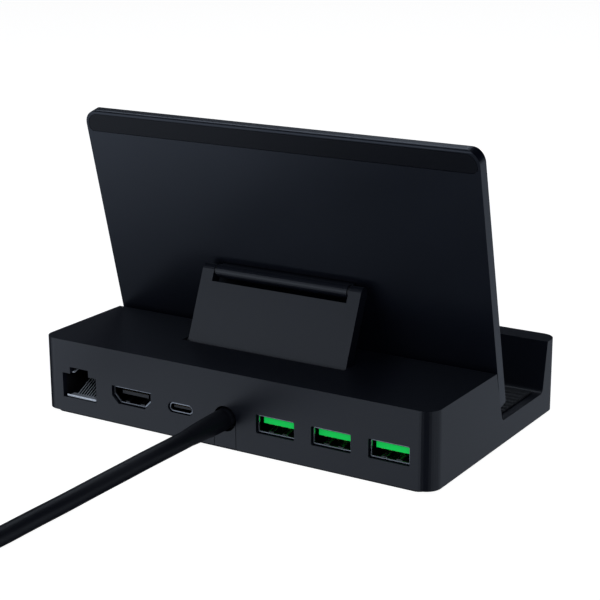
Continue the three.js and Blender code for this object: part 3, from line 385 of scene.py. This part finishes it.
# ---------------------------------------------------------------- the docking cable
CABLE_RADIUS = 0.0027
EXIT = Vector((0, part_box("top_housing")[1].y, 0.0102))
LEAD = [
    EXIT, (0, 0.050, 0.0102), (0, 0.057, 0.0102), (0, 0.064, 0.0101), (0.0005, 0.070, 0.0098),
    (0.0015, 0.076, 0.0092), (0.0031, 0.082, 0.0082), (0.0052, 0.088, 0.0068), (0.0072, 0.094, 0.0055),
    (0.0090, 0.100, 0.0043), (0.0103, 0.106, 0.0034), (0.0111, 0.112, 0.0029), (0.0114, 0.118, 0.00275),
    (0.0114, 0.125, 0.00275), (0.0114, 0.133, 0.00275), (0.0114, 0.142, 0.0030), (0.0114, 0.151, 0.0035),
]
TAIL = [
    (0.0764, 0.151, 0.0082), (0.0776, 0.142, 0.0066), (0.0792, 0.136, 0.0054), (0.0808, 0.130, 0.0041),
    (0.0818, 0.124, 0.0033), (0.0820, 0.118, 0.0032), (0.0820, 0.1165, 0.0032),
]
COIL_CENTRE = Vector((0.0436, 0.160, 0))
COIL_MIDDLE = 0.0295
COIL_TURNS = 3.5
COIL_LOW = 0.00375  # the cable's centre in the lower layer
POINTS_PER_TURN = 72


def through(points, per_span=6):
    """A smooth curve through points, by Catmull-Rom."""
    points = [Vector(p) for p in points]
    ends = [2 * points[0] - points[1], *points, 2 * points[-1] - points[-2]]
    curve = []
    for i in range(1, len(ends) - 2):
        a, b, c, d = ends[i - 1 : i + 3]
        for step in range(per_span):
            t = step / per_span
            slope = (c - a) * t + (2 * a - 5 * b + 4 * c - d) * t * t
            curve.append(b + (slope + (3 * b - a - 3 * c + d) * t**3) / 2)
    return [*curve, points[-1]]


def coil():
    """Clockwise from above: a lower outer turn, a lower inner, an upper inner and half an upper outer."""
    points = []
    for step in range(round(COIL_TURNS * POINTS_PER_TURN) + 1):
        turn = step / POINTS_PER_TURN
        inward = ease(turn, 0.8, 1.0) - ease(turn, 2.5, 2.65)
        upward = ease(turn, 1.65, 1.8)
        radius = COIL_MIDDLE + CABLE_RADIUS * (1 - 2 * inward)
        angle = math.pi - 2 * math.pi * turn
        height = COIL_LOW + 2 * CABLE_RADIUS * upward
        points.append(COIL_CENTRE + Vector((radius * math.cos(angle), radius * math.sin(angle), height)))
    return points


def tube(path, radius, sides=20):
    """A round tube along a path, its section carried along without twisting."""
    across = Vector((1, 0, 0))
    rings = []
    for i, place in enumerate(path):
        ahead = (path[min(i + 1, len(path) - 1)] - path[max(i - 1, 0)]).normalized()
        across = (across - ahead * across.dot(ahead)).normalized()
        other = ahead.cross(across)
        turn = [2 * math.pi * j / sides for j in range(sides)]
        rings.append([place + (across * math.cos(a) + other * math.sin(a)) * radius for a in turn])
    return loft(rings)


def make_boot():
    """The strain relief: a flange inside the case, a collar in the exit and a long smooth taper."""
    profile = [
        (0.2, -6), (4.6, -6), (5.6, -5), (5.6, -3.4), (3.5, -3.4), (3.4, -2), (3.4, 0.9), (3.3, 1.2),
        (3.3, 1.5), (3.4, 1.8), (3.36, 6), (3.24, 10), (3.06, 14), (2.88, 17.5), (2.76, 19.2), (2.71, 20),
        (0.2, 20),
    ]
    boot = make_piece("cable_boot", [lathe_y(profile, EXIT)], "cable_jacket", smooth_deg=50)
    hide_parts("strain_relief")
    return boot


TIE_ANGLE = math.radians(250)
TIE_WIDTH = 12


def tie_ring(across, half, radius, low, sides=8):
    """The strap's loop round the coil's section, at a distance across in millimetres along the coil."""
    out = Vector((math.cos(TIE_ANGLE), math.sin(TIE_ANGLE), 0))
    along = Vector((-out.y, out.x, 0))
    centre = COIL_CENTRE + out * COIL_MIDDLE + along * across * MM
    loop = []
    for corner in range(4):
        u = (half - radius) * (1 if corner in (0, 3) else -1)
        v = (half - radius) * (1 if corner in (0, 1) else -1)
        for step in range(sides + 1):
            angle = math.pi / 2 * (corner + step / sides)
            reach = out * (u + radius * math.cos(angle))
            rise = Vector((0, 0, low + half + v + radius * math.sin(angle)))
            loop.append(centre + (reach + rise) * MM)
    return loop


def make_tie():
    """A hook-and-loop strap round the coil, its end lapped over on top."""
    across = [-TIE_WIDTH / 2 + TIE_WIDTH * i / 8 for i in range(9)]
    rings = []
    for place in across:
        rings.append(tie_ring(place, 6.35, 2.6, 0.1))
    for place in reversed(across):
        rings.append(tie_ring(place, 5.8, 2.2, 0.65))
    count = len(rings[0])
    points = [p for ring in rings for p in ring]
    faces = []
    for i in range(len(rings)):
        for j in range(count):
            k, n = (j + 1) % count, (i + 1) % len(rings)
            faces.append((i * count + j, i * count + k, n * count + k, n * count + j))
    flap = [tie_ring(place, 6.42, 2.6, 0.03)[7:22] for place in (-4.6, 4.6)]
    lifted = [tie_ring(place, 6.95, 2.9, -0.5)[7:22] for place in (4.6, -4.6)]
    tie = make_piece("cable_tie_strap", [(points, faces), loft([*flap, *lifted])], "black_rubber")
    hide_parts("cable_tie")
    return soften(tie, 0.12)


def make_plug():
    """The plug: a ribbed neck, a grip with finger ridges and a hollow rounded shell."""
    low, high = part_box("plug_relief")
    centre = Vector(((low.x + high.x) / 2, high.y, (low.z + high.z) / 2))
    neck = [(0.2, 0.1), (2.74, 0.1), (2.85, -0.4)]
    for rib in range(4):
        y = -1.4 - rib * 1.7
        neck += [(2.95, y), (2.95, y - 0.8), (2.62, y - 1.0), (2.62, y - 1.5)]
    neck += [(2.96, -8.4), (2.96, -9.2), (0.2, -9.2)]
    boot = make_piece("plug_neck", [lathe_y(neck, centre)], "cable_jacket", smooth_deg=30)
    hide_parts("plug_relief")
    low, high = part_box("plug_body")
    length = (high.y - low.y) / MM
    middle = Vector((centre.x, high.y, centre.z))
    rings = []
    for step in range(89):
        along = step / 88
        end = 1 - 0.16 * (1 - min(along / 0.06, 1)) ** 2 - 0.1 * (1 - min((1 - along) / 0.04, 1)) ** 2
        held = ease(along, 0.2, 0.26) * (1 - ease(along, 0.66, 0.72))
        ridge = held * 0.18 * (math.cos(along * length * 2 * math.pi / 1.5) - 1)
        rings.append(stadium(11.6 * end, 6.4 * end + ridge, -along * length, middle, 3.2))
    grip = make_piece("plug_grip", [loft(rings)], "case_plastic", smooth_deg=60)
    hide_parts("plug_body")
    low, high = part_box("plug_shell")
    deep = (high.y - low.y) / MM
    middle = Vector((centre.x, high.y, centre.z))
    stations = [
        (8.25, 2.4, 0.35), (8.25, 2.4, -deep + 0.25), (8.15, 2.3, -deep + 0.05), (8.0, 2.15, -deep),
        (7.75, 1.9, -deep + 0.05), (7.65, 1.8, -deep + 0.3), (7.65, 1.8, -0.9),
    ]
    rings = [stadium(w, h, y, middle, 5) for w, h, y in stations]
    shell = make_piece("plug_tip", [loft(rings)], "socket_plating", smooth_deg=45)
    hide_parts("plug_shell")
    return [boot, grip, shell]


def make_cable():
    """The cable's whole length on one curve, from the case to the plug."""
    turns = coil()
    path = [*through([*LEAD, turns[0]])[:-1], *turns, *through([turns[-1], *TAIL])[1:]]
    cable = make_piece("docking_cable", [tube(path, CABLE_RADIUS)], "cable_jacket", smooth_deg=60)
    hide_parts("cable_lead", "cable_coil", "cable_tail")
    make_boot()
    make_tie()
    make_plug()


make_cable()

# ---------------------------------------------------------------- inside the sockets
REAR_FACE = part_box("top_housing")[1].y / MM
SHEET = 0.3  # a shell's wall


def corners(name):
    """A CAD node's lowest and highest corners in millimetres."""
    low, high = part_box(name)
    return low / MM, high / MM


def centre_x(name):
    low, high = corners(name)
    return (low.x + high.x) / 2


def make_usb_contacts(number):
    """Four sprung contacts that bow out under the tongue, and the five flat ones at its front."""
    low, high = corners(f"usb_socket_tongue_{number}")
    x = (low.x + high.x) / 2
    under = high.z - 1.84
    back, tip = corners(f"usb_socket_contacts_{number}")[0].y, high.y
    bow = [
        (back, under - 0.2), (tip - 4.2, under - 0.2), (tip - 3.2, under - 0.45), (tip - 2.2, under - 0.8),
        (tip - 1.4, under - 0.85), (tip - 0.7, under - 0.5), (tip - 0.25, under - 0.2),
    ]
    parts = [strip(bow, 0.2, place - 0.5, place + 0.5) for place in (x - 3.5, x - 1, x + 1, x + 3.5)]
    flat = [(tip - 3.0, under - 0.02), (tip - 1.4, under - 0.02), (tip - 0.3, under - 0.02)]
    for step in range(5):
        place = x + (step - 2) * 2.0
        parts.append(strip(flat, 0.06, place - 0.3, place + 0.3))
    piece = make_piece(f"usb_contacts_{number}", parts, "contact_gold")
    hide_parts(f"usb_socket_contacts_{number}")


def make_usb_springs(number):
    """The two grounding springs that rise from a shell's floor, and the two that hang from its roof."""
    low, high = corners(f"usb_socket_shell_{number}")
    x, y = (low.x + high.x) / 2, high.y
    floor, roof = low.z + SHEET, high.z - SHEET
    rise = [(y - 0.9, 0.06), (y - 1.6, 0.12), (y - 3.6, 0.5), (y - 4.6, 0.62), (y - 5.4, 0.42), (y - 6, 0.3)]
    parts = []
    for place in (x - 2.5, x + 2.5):
        parts.append(strip([(v, floor + w) for v, w in rise], 0.14, place - 0.95, place + 0.95))
        parts.append(strip([(v, roof - w * 0.6) for v, w in rise], 0.14, place - 0.95, place + 0.95))
    make_piece(f"usb_springs_{number}", parts, "socket_plating")


WIRE_PITCH = 1.02
WIRE_RADIUS = 0.14


def in_matt_tin(piece):
    """Gives a plated piece the duller tin."""
    piece.data.materials[0] = materials["matt_tin"]
    return piece


def make_network_inside():
    """The jack's eight wires, the comb that holds them, its metal sill and the shield's latch spring."""
    low, high = corners("network_jack_contacts")
    x, floor, back, front = centre_x("network_jack_contacts"), low.z, low.y, high.y
    rise = [
        (front + 0.2, floor - 0.1), (front - 0.3, floor + 0.15), (front - 1, floor + 0.5),
        (front - 7, floor + 3.7), (front - 8.2, floor + 4.1), (back + 1.6, floor + 5.3),
        (back + 0.6, floor + 5.7),
    ]
    wires = []
    for i in range(8):
        place = x + (i - 3.5) * WIRE_PITCH
        wires.append(tube([Vector((place, y, z)) * MM for y, z in rise], WIRE_RADIUS * MM, 10))
    piece = make_piece("network_jack_wires", wires, "socket_plating", smooth_deg=60)
    in_matt_tin(piece)
    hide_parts("network_jack_contacts")
    teeth = [block(x - 5, x + 5, back, back + 0.7, floor, floor + 6.3)]
    for i in range(9):
        place = x + (i - 4) * WIRE_PITCH
        teeth.append(block(place - 0.25, place + 0.25, back + 0.6, back + 1.6, floor + 2, floor + 6.2))
        teeth.append(block(place - 0.25, place + 0.25, front - 1.5, front - 0.5, floor - 0.1, floor + 0.35))
    soften(make_piece("network_jack_comb", teeth, "socket_plastic"), 0.08)
    sill = [
        (front - 0.6, floor - 0.12), (REAR_FACE - 0.75, floor - 0.12), (REAR_FACE - 0.55, floor - 0.0),
        (REAR_FACE - 0.45, floor + 0.35), (REAR_FACE - 0.6, floor + 0.62),
    ]
    lip = make_piece("network_jack_sill", [strip(sill, 0.2, x - 6.4, x + 5.6)], "socket_plating")
    in_matt_tin(soften(lip, 0.05))
    spring = [
        (REAR_FACE - 3.2, 14.9), (REAR_FACE - 2.2, 14.75), (REAR_FACE - 1.5, 14.4), (REAR_FACE - 1.1, 14.5),
    ]
    latch = make_piece("network_jack_spring", [strip(spring, 0.3, x + 2.9, x + 3.7)], "socket_plating")
    in_matt_tin(latch)


VIDEO_BLADE = (10.35, 11.45)  # its underside and top
POWER_BLADE = (9.9, 10.6)


def make_video_contacts():
    """Nineteen contacts on the two faces of the video socket's tongue."""
    low, high = corners("video_socket_tongue")
    x, tip = (low.x + high.x) / 2, high.y
    blade_low, blade_high = VIDEO_BLADE
    parts = []
    for i in range(10):
        place = x + (i - 4.5) * 1.0
        path = [(tip - 5, blade_high + 0.03), (tip - 1.2, blade_high + 0.03), (tip - 0.3, blade_high + 0.01)]
        parts.append(strip(path, 0.08, place - 0.14, place + 0.14))
    for i in range(9):
        place = x + (i - 4) * 1.0
        path = [(tip - 5, blade_low - 0.03), (tip - 1.2, blade_low - 0.03), (tip - 0.3, blade_low - 0.01)]
        parts.append(strip(path, 0.08, place - 0.14, place + 0.14))
    make_piece("video_contacts", parts, "contact_gold")


def make_video_springs():
    """The two springs that hang from the video shell's roof and the two on its floor."""
    low, high = corners("video_socket_shell")
    x, y = (low.x + high.x) / 2, high.y
    rise = [(y - 1.0, 0.06), (y - 1.8, 0.15), (y - 3.4, 0.5), (y - 4.4, 0.5), (y - 5.2, 0.3)]
    parts = []
    for place in (x - 3, x + 3):
        parts.append(strip([(v, low.z + SHEET + w) for v, w in rise], 0.14, place - 0.8, place + 0.8))
        parts.append(strip([(v, high.z - SHEET - w) for v, w in rise], 0.14, place - 0.8, place + 0.8))
    make_piece("video_springs", parts, "socket_plating")


def make_power_contacts():
    """Twelve contacts on each face of the power socket's tongue."""
    low, high = corners("power_socket_tongue")
    x, tip = (low.x + high.x) / 2, high.y
    blade_low, blade_high = POWER_BLADE
    parts = []
    for i in range(12):
        place = x + (i - 5.5) * 0.5
        for z in (blade_low - 0.02, blade_high + 0.02):
            path = [(tip - 3.4, z), (tip - 1.0, z), (tip - 0.35, z)]
            parts.append(strip(path, 0.06, place - 0.13, place + 0.13))
    make_piece("power_contacts", parts, "contact_gold")


for socket in (1, 2, 3):
    make_usb_contacts(socket)
    make_usb_springs(socket)
make_network_inside()
make_video_contacts()
make_video_springs()
make_power_contacts()

# ---------------------------------------------------------------- CAD nodes that stay


def finish_cad_node(name, width_mm, segments=3, angle_deg=28):
    """Merges the CAD node's coplanar facets, rounds its edges and gives it its slot's material."""
    piece = nodes[name]
    piece.data.materials.clear()
    piece.data.materials.append(materials[slot_of[name]])
    for polygon in piece.data.polygons:
        polygon.use_smooth = True
    dissolve = piece.modifiers.new("merge_facets", "DECIMATE")
    dissolve.decimate_type = "DISSOLVE"
    dissolve.angle_limit = math.radians(0.6)
    bevel = piece.modifiers.new("round_edges", "BEVEL")
    bevel.width = width_mm * MM
    bevel.segments = segments
    bevel.limit_method = "ANGLE"
    bevel.angle_limit = math.radians(angle_deg)
    bevel.harden_normals = True
    normals = piece.modifiers.new("weigh_normals", "WEIGHTED_NORMAL")
    normals.keep_sharp = True


USB_SHELLS = [f"usb_socket_shell_{number}" for number in (1, 2, 3)]
EDGE_MM = {
    **dict.fromkeys(USB_SHELLS, 0.12),
    "video_socket_shell": 0.12,
    "power_socket_shell": 0.12,
    "top_housing": 0.35,
    "bottom_cover": 0.25,
    "foot_mat": 0.15,
    "strut_plate": 0.3,
    "panel_back": 0.35,
    "panel_front": 0.2,
    "panel_grip_pad": 0.3,
    "panel_hinge_leaf": 0.15,
    "plug_body": 0.5,
}
for node_name in nodes:
    finish_cad_node(node_name, EDGE_MM.get(node_name, 0.06), 3 if node_name in EDGE_MM else 2)


def rear_end(name):
    """How far to the rear a CAD node reaches, in its own coordinates and in millimetres."""
    return max(vertex.co.y for vertex in nodes[name].data.vertices) / MM


for node_name in USB_SHELLS + ["video_socket_shell", "power_socket_shell"]:
    # Each shell's plating has a painted highlight at its mouth and painted shade inside.
    nodes[node_name].data.materials[0] = shell_plating_with_painted_light(node_name + "_plating", rear_end(node_name))
# painted glow at the green tongues' tips
painted_glow_at_tip(materials["green_plastic"], rear_end("usb_socket_tongue_1"))

# ---------------------------------------------------------------- stage and light


def make_floor():
    """A pale floor: white to the camera, and a softer bluish white in the object's reflections."""
    bpy.ops.mesh.primitive_grid_add(x_subdivisions=8, y_subdivisions=8, size=6, location=(0, 0, -0.0002))
    floor = bpy.context.object
    floor.name = "floor"
    material = new_material("floor_white", (0.25, 0.25, 0.25), 0.9, Specular_IOR_Level=0.0)
    tree, shader = material.node_tree, shader_of(material)
    shader.inputs["Emission Strength"].default_value = 1
    path = tree.nodes.new("ShaderNodeLightPath")
    mix = tree.nodes.new("ShaderNodeMix")
    mix.data_type = "RGBA"
    mix.inputs["A"].default_value = (*FLOOR_GLOW, 1)
    mix.inputs["B"].default_value = (*FLOOR_SEEN, 1)
    tree.links.new(path.outputs["Is Camera Ray"], mix.inputs["Factor"])
    tree.links.new(mix.outputs["Result"], shader.inputs["Emission Color"])
    floor.data.materials.append(material)
    floor.visible_glossy = False
    floor.visible_shadow = False


def area_light(name, azimuth, elevation, distance, size, watts):
    """A softbox in the direction given from the object, azimuth from +X towards +Y, facing it."""
    data = bpy.data.lights.new(name, "AREA")
    data.shape = "RECTANGLE"
    data.size, data.size_y = size
    data.energy = watts
    data.color = LIGHT_COLOUR
    light = bpy.data.objects.new(name, data)
    bpy.context.scene.collection.objects.link(light)
    turn, rise = math.radians(azimuth), math.radians(elevation)
    away = Vector((math.cos(turn) * math.cos(rise), math.sin(turn) * math.cos(rise), math.sin(rise)))
    light.location = LIGHT_AIM + away * distance
    light.rotation_euler = (-away).to_track_quat("-Z", "Y").to_euler()


def make_world():
    """White behind the object, and a dim room for its reflections."""
    world = bpy.data.worlds.new("studio")
    bpy.context.scene.world = world
    world.use_nodes = True
    tree = world.node_tree
    tree.nodes.clear()
    seen = tree.nodes.new("ShaderNodeBackground")
    seen.inputs["Color"].default_value = (1, 1, 1, 1)
    seen.inputs["Strength"].default_value = 1.05
    room = tree.nodes.new("ShaderNodeBackground")
    room.inputs["Color"].default_value = (0.42, 0.48, 1, 1)
    room.inputs["Strength"].default_value = ROOM_STRENGTH
    path = tree.nodes.new("ShaderNodeLightPath")
    mix = tree.nodes.new("ShaderNodeMixShader")
    output = tree.nodes.new("ShaderNodeOutputWorld")
    tree.links.new(path.outputs["Is Camera Ray"], mix.inputs["Fac"])
    tree.links.new(room.outputs["Background"], mix.inputs[1])
    tree.links.new(seen.outputs["Background"], mix.inputs[2])
    tree.links.new(mix.outputs["Shader"], output.inputs["Surface"])


FLOOR_SEEN = (0.97, 0.97, 0.97)
FLOOR_GLOW = (0.62, 0.68, 0.8)
LIGHT_COLOUR = (0.77, 0.86, 1.0)
LIGHT_AIM = Vector((0, 0, 0.03))
ROOM_STRENGTH = 0.007

bpy.context.scene.view_settings.view_transform = "Standard"
make_world()
make_floor()
LIGHTS = [  # name, azimuth, elevation, distance, size, watts
    ("rear_left", 53, -1, 0.9, (1.05, 0.95), 3.7),
    ("right", 215, -12, 0.9, (1.25, 0.6), 1.15),
    ("right_rear", 164, -12, 0.9, (0.55, 0.6), 0.6),
    ("high_left", -35, 57, 1.0, (0.95, 0.45), 2.6),
    ("front", 272, -30, 0.9, (0.7, 0.5), 0.35),
    ("overhead", 100, 80, 1.0, (0.7, 0.7), 1.0),
    ("over_camera", 128, 32, 1.0, (0.3, 0.3), 2.0),
]
for row in LIGHTS:
    area_light(*row)
